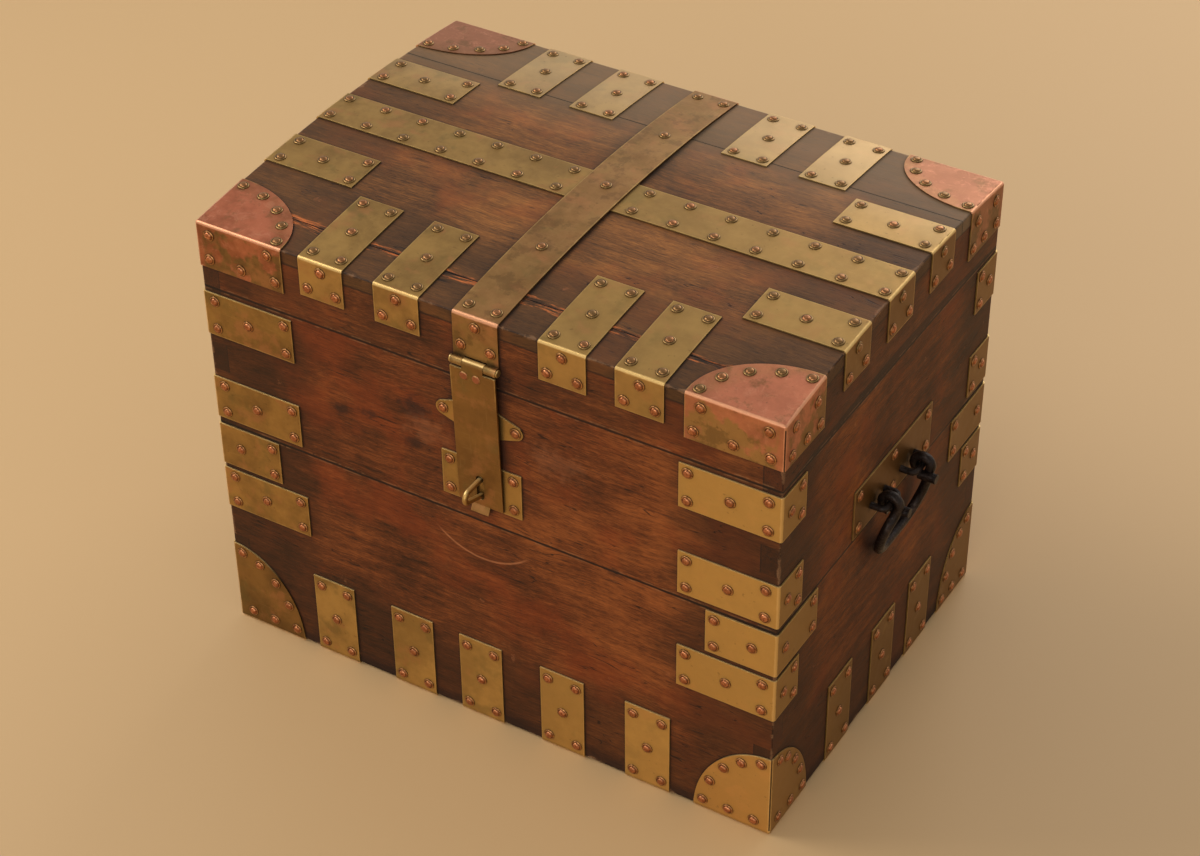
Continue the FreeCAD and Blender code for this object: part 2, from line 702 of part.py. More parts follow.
def end_foot_straps(end):
    straps = []
    y0, y1 = sorted((end * (out_d - foot_under), end * far))
    for x in front_foot_x:
        straps.append(chest_skin.common(box(x - strip / 2, x + strip / 2, y0, y1, -1.0, foot_height)))
        for u, z in foot_rivet_places(x):
            end_rivet("chest", end, u, z)
    return straps


def side_foot_straps(side):
    straps = []
    x0, x1 = sorted((side * (out_w - foot_under), side * far))
    for y in side_foot_y:
        straps.append(chest_skin.common(box(x0, x1, y - strip / 2, y + strip / 2, -1.0, foot_height)))
        for u, z in foot_rivet_places(y):
            side_rivet("chest", side, u, z)
    return straps


def foot_cap(side, end):
    corner = Vector(side * out_w, end * out_d, 0)
    in_x = Vector(-side, 0, 0)
    in_y = Vector(0, -end, 0)
    up = Vector(0, 0, 1)
    deep = edge_round + 2.0 * sheet
    reach = fuse([
        ellipse_prism(corner, in_x, up, foot_cap_width, foot_height, in_y * deep),
        ellipse_prism(corner, in_y, up, foot_cap_depth, foot_height, in_x * deep),
        ellipse_prism(corner, in_x, in_y, foot_cap_width, foot_cap_depth, up * deep)])
    cap = chest_skin.common(reach)
    cap = cap.cut(corner_slit(side, end, slit_stop, 2.0 * foot_height))
    curve = foot_height - rivet_inset
    for angle in foot_cap_angles_x:
        a = math.radians(angle)
        end_rivet("chest", end, side * (out_w - (foot_cap_width - rivet_inset) * math.cos(a)),
                  curve * math.sin(a))
    for angle in foot_cap_angles_y:
        a = math.radians(angle)
        side_rivet("chest", side, end * (out_d - (foot_cap_depth - rivet_inset) * math.cos(a)),
                   curve * math.sin(a))
    for share in foot_cap_low_shares:
        end_rivet("chest", end, side * (out_w - share * foot_cap_width), foot_rivet_low)
        side_rivet("chest", side, end * (out_d - share * foot_cap_depth), foot_rivet_low)
    return cap


for end, end_name in ((-1, "front"), (1, "back")):
    nodes[end_name + "_foot_straps"] = end_foot_straps(end)
    for side, side_name in ((-1, "left"), (1, "right")):
        nodes["corner_straps_" + end_name + "_" + side_name] = corner_straps(side, end)
        nodes["foot_cap_" + end_name + "_" + side_name] = [foot_cap(side, end)]
for side, side_name in ((-1, "left"), (1, "right")):
    nodes[side_name + "_foot_straps"] = side_foot_straps(side)

# Handles, drawn on the right and mirrored to the left

curl = handle_pin_r + body_gap + bail_r
pin_x = out_w + handle_pin_stand
bail_rest = hw + bail_r + bail_gap - pin_x
lean = math.atan2(curl, bail_drop) + math.asin(-bail_rest / math.hypot(curl, bail_drop))


def bail_point(y, drop):
    x = curl * math.cos(lean) - drop * math.sin(lean)
    z = -curl * math.sin(lean) - drop * math.cos(lean)
    return Vector(pin_x + x, handle_y + y, handle_pin_z + z)


def curl_point(sign, angle):
    return Vector(pin_x + curl * math.cos(angle), handle_y + sign * bail_half,
                  handle_pin_z + curl * math.sin(angle))


def bail_curl(sign):
    turn_end = math.radians(bail_wrap)
    return Part.Arc(curl_point(sign, turn_end), curl_point(sign, (turn_end - lean) / 2.0),
                    curl_point(sign, -lean)).toShape()


def bail_stub(sign):
    start = Vector(pin_x - 1.0, handle_y + sign * (bail_half - bail_stub_side), handle_pin_z - curl)
    return Part.makeCylinder(bail_r, bail_stub_reach + 1.0, start, Vector(1, 0, 0))


bail_wide = bail_half + bail_swell
straight = bail_drop - bail_corner
turn = bail_corner * (1.0 - math.sqrt(0.5))
flat = bail_wide - bail_corner
swell_turn = 2.0 * math.atan2(bail_swell, bail_swell_drop)
swell_r = bail_swell_drop / (2.0 * math.sin(swell_turn))
swell_side = swell_r * (1.0 - math.cos(swell_turn / 2.0))
swell_down = swell_r * math.sin(swell_turn / 2.0)


def bail_arm(sign):
    neck = bail_point(sign * bail_half, 0)
    middle = bail_point(sign * (bail_half + bail_swell / 2.0), bail_swell_drop / 2.0)
    wide = bail_point(sign * bail_wide, bail_swell_drop)
    low = bail_point(sign * bail_wide, straight)
    return [
        Part.Arc(neck, bail_point(sign * (bail_half + swell_side), swell_down), middle).toShape(),
        Part.Arc(middle, bail_point(sign * (bail_wide - swell_side), bail_swell_drop - swell_down),
                 wide).toShape(),
        Part.makeLine(wide, low),
        Part.Arc(low, bail_point(sign * (bail_wide - turn), bail_drop - turn),
                 bail_point(sign * flat, bail_drop)).toShape(),
    ]


bail_edges = [bail_curl(-1)] + bail_arm(-1)
bail_edges.append(Part.makeLine(bail_point(-flat, bail_drop), bail_point(flat, bail_drop)))
bail_edges += bail_arm(1)[::-1] + [bail_curl(1)]
bail = fuse([rod(bail_edges, bail_r), bail_stub(-1), bail_stub(1)])

eyes = []
bend = handle_pin_bend
nick = bend * (1.0 - math.sqrt(0.5))
inside_x = hw - wall + 1.0
for sign in (-1, 1):
    ya = handle_y + sign * (bail_half + handle_pin_outer)
    yb = handle_y + sign * (bail_half - handle_pin_inner)
    s = 1 if yb > ya else -1
    eyes.append(rod([
        Part.makeLine(Vector(inside_x, ya, handle_pin_z), Vector(pin_x - bend, ya, handle_pin_z)),
        Part.Arc(Vector(pin_x - bend, ya, handle_pin_z), Vector(pin_x - nick, ya + s * nick, handle_pin_z),
                 Vector(pin_x, ya + s * bend, handle_pin_z)).toShape(),
        Part.makeLine(Vector(pin_x, ya + s * bend, handle_pin_z), Vector(pin_x, yb - s * bend, handle_pin_z)),
        Part.Arc(Vector(pin_x, yb - s * bend, handle_pin_z),
                 Vector(pin_x - nick, yb - s * nick, handle_pin_z),
                 Vector(pin_x - bend, yb, handle_pin_z)).toShape(),
        Part.makeLine(Vector(pin_x - bend, yb, handle_pin_z), Vector(inside_x, yb, handle_pin_z)),
    ], handle_pin_r))

grip_plate = box(hw, out_w, handle_y - handle_plate[0] / 2, handle_y + handle_plate[0] / 2,
                 handle_plate_z - handle_plate[1] / 2, handle_plate_z + handle_plate[1] / 2)
eye_holes = Part.makeCompound(eyes)
grip_plate = grip_plate.cut(eye_holes)


def mirrored(shape):
    return shape.mirror(Vector(0, 0, 0), Vector(1, 0, 0))


nodes["right_handle_plate"] = [grip_plate]
nodes["right_handle_eyes"] = eyes
nodes["right_bail"] = [bail]
nodes["left_handle_plate"] = [mirrored(grip_plate)]
nodes["left_handle_eyes"] = [mirrored(eye) for eye in eyes]
nodes["left_bail"] = [mirrored(bail)]
right_upper = nodes["chest_right_upper_board"][0]
left_upper = nodes["chest_left_upper_board"][0]
nodes["chest_right_upper_board"] = [right_upper.cut(eye_holes)]
nodes["chest_left_upper_board"] = [left_upper.cut(mirrored(eye_holes))]
for side in (-1, 1):
    for dy in handle_rivet_y:
        for dz in (-handle_rivet_z, handle_rivet_z):
            side_rivet("chest", side, handle_y + dy, handle_plate_z + dz)

# Rivet holes, then the rivets

undrilled = ("_eyes", "_bail", "_pin", "_pins", "_rivets", "staple", "hasp_plate")
for name in [name for name in nodes if not name.endswith(undrilled)]:
    body = "lid" if name.startswith(("lid_", "hasp_strap")) else "chest"
    solids = []
    for solid in nodes[name]:
        reach = solid.BoundBox
        holes = []
        for point, normal in rivets[body]:
            deep = sheet + shank_in_wood + hole_clear + 1.0
            hole = Part.makeCylinder(shank_r + hole_clear, deep, point + normal, -normal)
            if reach.intersect(hole.BoundBox):
                holes.append(hole)
        if holes:
            solid = solid.cut(Part.makeCompound(holes))
        solids.append(solid)
    nodes[name] = solids

pattern = rivet_shape(sheet + shank_in_wood)
for body, places in rivets.items():
    group = []
    for point, normal in places:
        one = pattern.copy()
        one.Placement = FreeCAD.Placement(point, FreeCAD.Rotation(Vector(0, 0, 1), normal))
        group.append(one)
    nodes[body + "_rivets"] = group

# The origin moves to the middle of the overall box, from the staple's nose to the hinge barrels
front_reach = out_d + staple_reach + staple_nose + staple_r
back_reach = hinge_y + hinge_r
frame_shift = (front_reach - back_reach) / 2.0

os.makedirs("parts", exist_ok=True)
for name, solids in nodes.items():
    shape = solids[0] if len(solids) == 1 else Part.makeCompound(solids)
    shape.translate(Vector(0, frame_shift, 0))
    shape.exportStep("parts/" + name + ".step")
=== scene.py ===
import json
import math
import random

import bpy
import numpy as np
from mathutils import Matrix, Vector

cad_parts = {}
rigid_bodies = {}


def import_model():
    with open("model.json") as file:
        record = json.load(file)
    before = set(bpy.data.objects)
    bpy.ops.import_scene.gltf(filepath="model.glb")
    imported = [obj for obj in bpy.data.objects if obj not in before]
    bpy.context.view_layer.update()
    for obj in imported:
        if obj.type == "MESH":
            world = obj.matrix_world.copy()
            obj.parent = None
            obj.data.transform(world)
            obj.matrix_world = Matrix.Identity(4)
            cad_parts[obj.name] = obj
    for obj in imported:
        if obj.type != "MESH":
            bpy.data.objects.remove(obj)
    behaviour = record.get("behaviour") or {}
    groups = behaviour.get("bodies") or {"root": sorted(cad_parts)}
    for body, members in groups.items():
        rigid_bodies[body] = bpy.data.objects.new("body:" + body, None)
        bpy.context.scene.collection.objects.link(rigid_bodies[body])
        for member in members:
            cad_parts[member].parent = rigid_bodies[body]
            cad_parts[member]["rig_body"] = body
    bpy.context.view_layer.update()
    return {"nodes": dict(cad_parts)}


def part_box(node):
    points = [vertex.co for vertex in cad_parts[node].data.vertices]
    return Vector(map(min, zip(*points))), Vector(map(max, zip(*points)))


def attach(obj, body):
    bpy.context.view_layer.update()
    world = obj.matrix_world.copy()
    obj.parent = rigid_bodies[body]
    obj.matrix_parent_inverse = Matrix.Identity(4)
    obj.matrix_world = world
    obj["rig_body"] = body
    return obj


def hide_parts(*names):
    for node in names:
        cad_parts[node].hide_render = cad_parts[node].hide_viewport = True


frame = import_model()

# Brass-bound wooden trunk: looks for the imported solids. Metres, Z up, the front faces -Y.

nodes = frame["nodes"]

MM = 0.001

# Sizes read from the frame
chest_low, chest_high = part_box("chest_front_upper_board")
back_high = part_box("chest_back_upper_board")[1]
top_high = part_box("lid_top_middle_board")[1]
cap_low, cap_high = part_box("lid_cap_front_left")
strap_low, strap_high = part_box("lid_front_straps")
cross_low, cross_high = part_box("lid_cross_strap")
half_width = (chest_high.x - chest_low.x) / 2
half_depth = (back_high.y - chest_low.y) / 2
middle_y = (back_high.y + chest_low.y) / 2
seam_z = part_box("lid_front_rail")[0].z
board_joint_z = chest_low.z
front_joint_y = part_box("lid_top_front_board")[1].y
foot_high_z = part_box("front_foot_straps")[1].z
hasp_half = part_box("hasp_strap")[1].x
cross_half = (cross_high.y - cross_low.y) / 2
strap_reach = strap_high.y - strap_low.y
cap_reach_x = cap_high.x - cap_low.x
cap_reach_y = cap_high.y - cap_low.y

# Sizes of the solids that their boxes don't give
crown = 12 * MM
crown_radius = (half_depth ** 2 + crown ** 2) / (2 * crown)
lid_edge_z = top_high.z - crown
sheet = 1.5 * MM

# Places of wear and of painted light: dark wood beside the corner straps on the ends, unoiled wood inside, a
# painted sheen on the back of the lid, and the arc that the hasp has scraped on the front
side_dark = 76 * MM
bare_start, bare_end = 12 * MM, 13.5 * MM
sheen_start, sheen_end = 40 * MM, 200 * MM
scrape_x, scrape_z, scrape_radius = -3 * MM, 285 * MM, 73.5 * MM
scrape_top, scrape_full = 236 * MM, 222 * MM


def shade(red, green, blue):
    """A colour written as it shows on a screen, 0 to 255, as linear light."""
    return tuple(((c / 255 + 0.055) / 1.055) ** 2.4 for c in (red, green, blue)) + (1.0,)


# Marks on each separate solid, for the paint

def islands(mesh):
    """Each vertex's place and the number of the separate solid that it belongs to."""
    place = np.empty(len(mesh.vertices) * 3, np.float32)
    mesh.vertices.foreach_get("co", place)
    place = place.reshape(-1, 3)
    ends = np.empty(len(mesh.edges) * 2, np.int32)
    mesh.edges.foreach_get("vertices", ends)
    _, same = np.unique(np.round(place * 1e6).astype(np.int64), axis=0, return_inverse=True)
    same = same.reshape(-1)
    first, second = same[ends.reshape(-1, 2)].T
    label = np.arange(same.max() + 1)
    while True:
        least = np.minimum(label[first], label[second])
        lower = label.copy()
        np.minimum.at(lower, first, least)
        np.minimum.at(lower, second, least)
        lower = lower[lower]
        if (lower == label).all():
            break
        label = lower
    _, number = np.unique(label[same], return_inverse=True)
    return place, number.reshape(-1)


def flattened(place):
    """The same places with the crown of the lid pressed flat."""
    flat = place.astype(float)
    flat[:, 2] += (flat[:, 1] - middle_y) ** 2 / (2 * crown_radius)
    return flat


def mark_solids(node, seed):
    """Gives each solid of a node its own box and a number between 0 and 1."""
    mesh = nodes[node].data
    place, number = islands(mesh)
    if nodes[node]["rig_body"] == "lid":
        place = flattened(place)
    draw = random.Random(seed)
    low = np.empty_like(place)
    high = np.empty_like(place)
    lot = np.empty(len(place), np.float32)
    for i in range(number.max() + 1):
        here = number == i
        low[here] = place[here].min(0)
        high[here] = place[here].max(0)
        lot[here] = draw.random()
    for name, kind, field, values in (("solid_low", "FLOAT_VECTOR", "vector", low),
                                      ("solid_high", "FLOAT_VECTOR", "vector", high),
                                      ("solid_lot", "FLOAT", "value", lot)):
        attribute = mesh.attributes.new(name, kind, "POINT")
        attribute.data.foreach_set(field, values.astype(np.float32).ravel())


# Paint

class Paint:
    """Short ways to make and join the nodes of one material."""

    def __init__(self, name):
        self.material = bpy.data.materials.new(name)
        self.material.use_nodes = True
        self.tree = self.material.node_tree
        self.shader = self.tree.nodes["Principled BSDF"]
        self.place = self.node("TexCoord", {}).outputs["Object"]
        self.normal = self.node("TexCoord", {}).outputs["Normal"]
        self.lot = self.node("Attribute", {}, attribute_name="solid_lot").outputs["Fac"]

    def node(self, kind, inputs, **settings):
        made = self.tree.nodes.new("ShaderNode" + kind)
        for key, value in settings.items():
            setattr(made, key, value)
        for key, value in inputs.items():
            self.put(made.inputs[key], value)
        return made

    def put(self, socket, value):
        if isinstance(value, bpy.types.NodeSocket):
            self.tree.links.new(value, socket)
        else:
            socket.default_value = value

    def set(self, **inputs):
        for key, value in inputs.items():
            self.put(self.shader.inputs[key.replace("_", " ")], value)

    def calc(self, operation, a, b=0.0, c=0.0):
        return self.node("Math", {0: a, 1: b, 2: c}, operation=operation).outputs[0]

    def times(self, a, b):
        return self.calc("MULTIPLY", a, b)

    def plus(self, a, b):
        return self.calc("ADD", a, b)

    def minus(self, a, b):
        return self.calc("SUBTRACT", a, b)

    def positive(self, a):
        return self.calc("ABSOLUTE", a)

    def most(self, a, b):
        return self.calc("MAXIMUM", a, b)

    def weighted(self, *terms):
        """The sum of values, each times its weight."""
        total = self.times(*terms[0])
        for value, weight in terms[1:]:
            total = self.plus(total, self.times(value, weight))
        return total

    def vector(self, operation, a, b):
        return self.node("VectorMath", {0: a, 1: b}, operation=operation).outputs[0]

    def split(self, vector):
        return self.node("SeparateXYZ", {0: vector}).outputs

    def join(self, x, y, z):
        return self.node("CombineXYZ", {0: x, 1: y, 2: z}).outputs[0]

    def noise(self, vector, scale, detail=4.0, roughness=0.55, distortion=0.0, output="Fac"):
        made = self.node("TexNoise", {"Vector": vector, "Scale": scale, "Detail": detail,
                                      "Roughness": roughness, "Distortion": distortion})
        return made.outputs[output]

    def smooth(self, value, start, end):
        """0 at start, 1 at end, eased."""
        made = self.node("MapRange", {0: value, 1: start, 2: end}, interpolation_type="SMOOTHSTEP")
        return made.outputs[0]

    def span(self, value, low, high):
        """0 to 1 taken to low to high."""
        return self.node("MapRange", {0: value, 3: low, 4: high}).outputs[0]

    def ramp(self, value, *stops):
        made = self.node("ValToRGB", {0: value})
        points = made.color_ramp.elements
        while len(points) < len(stops):
            points.new(1.0)
        for point, (position, colour) in zip(points, stops):
            point.position = position
            point.color = colour
        return made.outputs[0]

    def mix(self, share, a, b):
        return self.node("Mix", {0: share, 6: a, 7: b}, data_type="RGBA").outputs[2]

    def tint(self, colour, tone, mask, strength):
        """The colour, taken towards a tone by strength where the mask is 1."""
        return self.mix(self.times(mask, strength), colour, tone)

    def length(self, vector):
        return self.node("VectorMath", {0: vector}, operation="LENGTH").outputs["Value"]

    def shut(self, reach, samples=6):
        """1 in the open, less beside raised neighbours within reach."""
        return self.node("AmbientOcclusion", {"Distance": reach}, samples=samples).outputs["AO"]

    def moved(self, step):
        """The place, moved apart for each solid so that no two look alike."""
        drift = self.vector("MULTIPLY", self.join(self.lot, self.lot, self.lot), step)
        return self.vector("ADD", self.place, drift)

    def flat_place(self):
        """The place with the crown of the lid pressed flat."""
        x, y, z = self.split(self.place)
        across = self.minus(y, middle_y)
        rise = self.times(self.times(across, across), 0.5 / crown_radius)
        return self.join(x, y, self.plus(z, rise))

    def inward(self, on_lid):
        """The place, flat on the lid, and its depth from the nearest end, long side, and top or base."""
        flat = self.flat_place() if on_lid else self.place
        x, y, z = self.split(flat)
        in_x = self.minus(half_width, self.positive(x))
        in_y = self.minus(half_depth, self.positive(self.minus(y, middle_y)))
        in_z = self.minus(top_high.z, z) if on_lid else self.minus(z, sheet)
        return flat, in_x, in_y, in_z

    def top_skin(self, in_z):
        """1 on the upper face of the lid's sheet, 0 where it is folded down."""
        return self.smooth(in_z, 2.5 * MM, 0.5 * MM)

    def patches(self, moved, step, scale, detail, roughness, start, end):
        """Blotches of their own, from noise taken a step away."""
        return self.smooth(self.noise(self.vector("ADD", moved, step), scale, detail, roughness), start, end)

    def edge_distance(self, place):
        """How far a spot is from the nearest edge of its solid's box."""
        low = self.node("Attribute", {}, attribute_name="solid_low").outputs["Vector"]
        high = self.node("Attribute", {}, attribute_name="solid_high").outputs["Vector"]
        near = self.vector("MINIMUM", self.vector("SUBTRACT", place, low),
                           self.vector("SUBTRACT", high, place))
        x, y, z = self.split(near)
        return self.middle_of(x, y, z)

    def least(self, *values):
        lowest = values[0]
        for value in values[1:]:
            lowest = self.calc("MINIMUM", lowest, value)
        return lowest

    def middle_of(self, x, y, z):
        """The middle one of three distances, which is small only near an edge of a box."""
        return self.most(self.least(x, y), self.least(self.most(x, y), z))

    def bump(self, height, strength, distance, normal=None):
        inputs = {"Height": height, "Strength": strength, "Distance": distance}
        if normal is not None:
            inputs["Normal"] = normal
        return self.node("Bump", inputs).outputs[0]


def along(p, place, grain, share):
    """The place pressed together along the grain, so that noise is drawn out into fibres."""
    return p.vector("MULTIPLY", place, (share, 1, 1) if grain == "x" else (1, share, 1))


def wood_grain(p, grain, moved, clouds):
    """Places drawn out along the grain, long and fine fibres, and the tone that all the layers add up to."""
    sway = p.noise(moved, 6.0, 2.0, output="Color")
    sway = p.vector("MULTIPLY", p.vector("SUBTRACT", sway, (0.5, 0.5, 0.5)), (0.02, 0.02, 0.02))
    swayed = p.vector("ADD", moved, sway)
    lines = along(p, swayed, grain, 0.07)
    short = along(p, swayed, grain, 0.10)
    bands = p.noise(lines, 55.0, 3.0, 0.6)
    fibres = p.noise(lines, 320.0, 6.0, 0.75)
    fine = p.noise(short, 1000.0, 3.0, 0.7)
    rings = p.noise(along(p, swayed, grain, 0.16), 11.0, 2.0, 0.5)
    rings = p.calc("SINE", p.times(rings, 85.0))
    tone = p.weighted((bands, 0.22), (fibres, 0.55), (fine, 0.55), (clouds, 0.60), (rings, 0.03))
    tone = p.calc("MULTIPLY_ADD", p.minus(tone, 0.96), 1.6, 0.5)
    return lines, short, fibres, fine, tone


def wood_field(p, grain, part, moved, flat, in_x, in_y):
    """1 in the open middle of each field of wood, 0 towards the straps, with a ragged border."""
    x, _, z = p.split(flat)
    past_ends = p.minus(in_x, strap_reach)
    past_feet = p.minus(z, foot_high_z)
    if part == "top":
        past_hasp = p.minus(p.positive(x), hasp_half)
        past_cross = p.minus(p.minus(half_depth, in_y), cross_half)
        room = p.least(past_hasp, past_cross, past_ends, p.minus(in_y, strap_reach))
    elif part == "long":
        room = p.least(past_ends, past_feet)
    elif part == "short":
        room = p.least(p.minus(in_y, side_dark), past_feet)
    else:
        room = p.minus(p.times(in_x, 0.08), 14 * MM)
    spread = p.noise(along(p, moved, grain, 0.5), 22.0, 5.0, 0.65)
    return p.smooth(p.plus(room, p.span(spread, -60 * MM, 60 * MM)), -30 * MM, 34 * MM)


def wood_checks(p, moved, lines, short):
    """Fine drying cracks in places, and pores everywhere."""
    crack = p.positive(p.minus(p.noise(lines, 90.0, 2.0, 0.5), 0.5))
    gate = p.patches(moved, (1.0, 5.0, 3.0), 17.0, 3.0, 0.6, 0.50, 0.58)
    checks = p.times(p.smooth(crack, 0.009, 0.002), gate)
    pores = p.smooth(p.noise(short, 620.0, 2.0, 0.6), 0.58, 0.70)
    return p.most(p.times(checks, 0.8), p.times(pores, 0.38))


def wood_wear(p, colour, moved, fine, arris):
    """Arrises rubbed pale in places, and the board joints: a dark crack between pale lips."""
    rub = p.noise(moved, 55.0, 4.0, 0.65)
    worn = p.smooth(p.minus(p.times(arris, 80.0), p.span(rub, -0.66, 0.78)), 0.10, -0.06)
    true_z = p.split(p.place)[2]
    gap = p.least(p.positive(p.minus(true_z, seam_z)), p.positive(p.minus(true_z, board_joint_z)))
    upright = p.smooth(p.positive(p.split(p.normal)[2]), 0.7, 0.3)
    lip = p.smooth(p.positive(p.minus(gap, 2.2 * MM)), 1.0 * MM, 0.3 * MM)
    lip = p.times(p.times(lip, p.smooth(rub, 0.46, 0.58)), upright)
    worn = p.most(worn, p.times(lip, 0.8))
    colour = p.tint(colour, shade(150, 110, 76), worn, p.span(fine, 0.0, 0.85))
    crack = p.times(p.smooth(gap, 1.5 * MM, 0.7 * MM), upright)
    return p.tint(colour, shade(22, 15, 12), crack, 0.8)


def lid_sheen_and_split(p, colour, moved, fibres, y, in_z):
    """A painted sheen on the back of the lid, and a splintered split along its front joint, fresh and
    orange.
    """
    # Painted sheen: the back of the lid paler and greyer
    back_sheen = p.smooth(y, sheen_start, sheen_end)
    colour = p.tint(colour, shade(186, 158, 122), back_sheen, 0.24)
    off = p.positive(p.minus(y, front_joint_y))
    torn = p.noise(p.vector("MULTIPLY", moved, (0.3, 1, 1)), 60.0, 4.0, 0.7)
    near = p.smooth(p.minus(off, p.span(torn, -12 * MM, 20 * MM)), 3 * MM, 0.0)
    near = p.times(near, p.smooth(in_z, 6 * MM, 3 * MM))
    fresh = p.times(near, p.smooth(fibres, 0.47, 0.60))
    colour = p.tint(colour, shade(204, 112, 56), fresh, 0.85)
    split = p.times(near, p.smooth(fibres, 0.47, 0.38))
    return p.tint(colour, shade(24, 16, 12), split, 0.8)


def wood_marks(p, colour, moved, fibres, fine, flat, marks):
    """Bruises and scuffs on the front, and the arc scraped under the hasp."""
    x, _, z = p.split(flat)
    upright = p.join(x, 0.0, z)
    ragged = p.noise(moved, 90.0, 4.0, 0.7)
    for spot_x, spot_z, reach, strength, tone in marks:
        away = p.vector("SUBTRACT", upright, (spot_x * MM, 0.0, spot_z * MM))
        away = p.length(p.vector("MULTIPLY", away, (0.6, 0, 1)))
        away = p.plus(away, p.span(ragged, -reach * MM, reach * MM))
        spot = p.smooth(away, 0.9 * reach * MM, 0.2 * reach * MM)
        colour = p.tint(colour, tone, p.times(spot, p.span(fibres, 0.2, 1.4)), strength)
    swing = p.length(p.vector("SUBTRACT", upright, (scrape_x, 0.0, scrape_z)))
    scrape = p.smooth(p.positive(p.minus(swing, scrape_radius)), 1.7 * MM, 0.4 * MM)
    scrape = p.times(scrape, p.smooth(z, scrape_top, scrape_full))
    return p.tint(colour, shade(176, 112, 72), scrape, p.span(fine, 0.1, 1.1))


def wood(name, grain, part, tones, marks=()):
    """Old oiled wood: fibres along the grain, nearly black round the straps with painted shade beside them,
    rubbed pale on its arrises.
    """
    p = Paint(name)
    flat, in_x, in_y, in_z = p.inward(part in ("top", "rail"))
    x, y, _ = p.split(flat)
    moved = p.moved((1.7, 2.3, 0.9))
    clouds = p.noise(moved, 9.0, 5.0, 0.62)
    lines, short, fibres, fine, tone = wood_grain(p, grain, moved, clouds)
    if marks:
        # The front is lighter towards the right
        tone = p.plus(tone, p.span(p.smooth(x, -120 * MM, 220 * MM), -0.07, 0.11))
    colour = p.ramp(tone, (0.18, tones[0]), (0.5, tones[1]), (0.86, tones[2]))
    # Redder where the oil has soaked in
    red = p.patches(moved, (7.0, 3.0, 1.0), 11.0, 4.0, 0.6, 0.48, 0.66)
    colour = p.tint(colour, tones[3], red, 0.42)
    field = wood_field(p, grain, part, moved, flat, in_x, in_y)
    stained = p.mix(0.62, colour, shade(70, 47, 26) if part == "top" else shade(46, 28, 15))
    colour = p.mix(field, stained, colour)
    dark = wood_checks(p, moved, lines, short)
    colour = p.mix(dark, colour, shade(27, 17, 12))
    # Painted shade beside the straps and in the joints, darker where raised neighbours close in
    strap_shade = p.smooth(p.plus(p.shut(22 * MM), p.span(clouds, -0.22, 0.22)), 0.96, 0.70)
    colour = p.tint(colour, shade(27, 20, 17), strap_shade, 0.75)
    edge = p.edge_distance(flat)
    seam = p.smooth(p.plus(edge, p.span(fine, -1.2 * MM, 1.2 * MM)), 1.9 * MM, 0.3 * MM)
    colour = p.tint(colour, shade(30, 21, 17), seam, 0.7)
    end_grain = p.smooth(p.positive(p.split(p.normal)[0 if grain == "x" else 1]), 0.75, 0.95)
    colour = p.tint(colour, shade(40, 27, 20), end_grain, 0.30)
    colour = wood_wear(p, colour, moved, fine, p.middle_of(in_x, in_y, in_z))
    # Knocks and pale scuffs
    knocks = p.patches(moved, (4.0, 1.0, 2.0), 26.0, 5.0, 0.7, 0.66, 0.74)
    colour = p.tint(colour, shade(150, 92, 58), knocks, p.span(fine, 0.0, 0.9))
    if part == "top":
        colour = lid_sheen_and_split(p, colour, moved, fibres, y, in_z)
    if marks:
        colour = wood_marks(p, colour, moved, fibres, fine, flat, marks)
    # Bare wood inside
    inner = p.smooth(p.least(in_x, in_y, in_z), bare_start, bare_end)
    colour = p.tint(colour, shade(122, 86, 56), inner, 0.5)
    height = p.minus(p.weighted((fibres, 0.6), (fine, 0.4), (knocks, -0.6)), dark)
    p.set(Base_Color=colour, Roughness=p.span(p.plus(fibres, strap_shade), 0.42, 0.66),
          Normal=p.bump(height, 0.35, 0.5 * MM), Specular_IOR_Level=0.2)
    return p.material


def copper_blush(p, colour, copper, copper_share, moved, film, right_light, y, depths):
    """Copper on the top of a cap, creeping down its sides over brass that has tarnished in blotches, with
    painted light towards the front right.
    """
    in_x, in_y, in_z = depths
    creep = p.noise(moved, 24.0, 4.0, 0.6)
    out = p.vector("MULTIPLY", p.join(in_x, in_y, 0.0), (1 / cap_reach_x, 1 / cap_reach_y, 0))
    rim = p.smooth(p.plus(p.length(out), p.span(creep, -0.3, 0.3)), 0.74, 1.0)
    on_top = p.times(p.top_skin(in_z), p.span(rim, 1.0, 0.45))
    patch = p.smooth(p.minus(creep, p.times(in_z, 3.2)), 0.40, 0.48)
    corner = p.smooth(p.minus(p.most(in_x, in_y), p.times(creep, 20 * MM)), 0.0, -6 * MM)
    share = p.times(p.most(on_top, p.times(p.most(patch, corner), 0.75)), copper_share)
    blush = p.mix(p.smooth(film, 0.38, 0.62), copper, shade(158, 88, 60))
    blush = p.tint(blush, shade(164, 110, 80), p.smooth(y, 0.0, 160 * MM), 0.8)
    # Painted light: brighter pink towards the front right
    forward = p.smooth(y, 40 * MM, -80 * MM)
    blush = p.tint(blush, shade(226, 146, 116), p.times(right_light, forward), 0.35)
    stain = p.patches(moved, (2.0, 8.0, 5.0), 46.0, 5.0, 0.68, 0.52, 0.68)
    blush = p.tint(blush, shade(132, 92, 58), stain, 0.75)
    veins = p.smooth(p.noise(moved, 90.0, 6.0, 0.75, 0.8), 0.50, 0.66)
    blush = p.tint(blush, shade(220, 148, 116), veins, 0.45)
    tarnish = p.patches(moved, (3.0, 7.0, 1.0), 44.0, 5.0, 0.66, 0.50, 0.60)
    return p.mix(share, p.tint(colour, shade(92, 72, 40), tarnish, 0.45), blush)


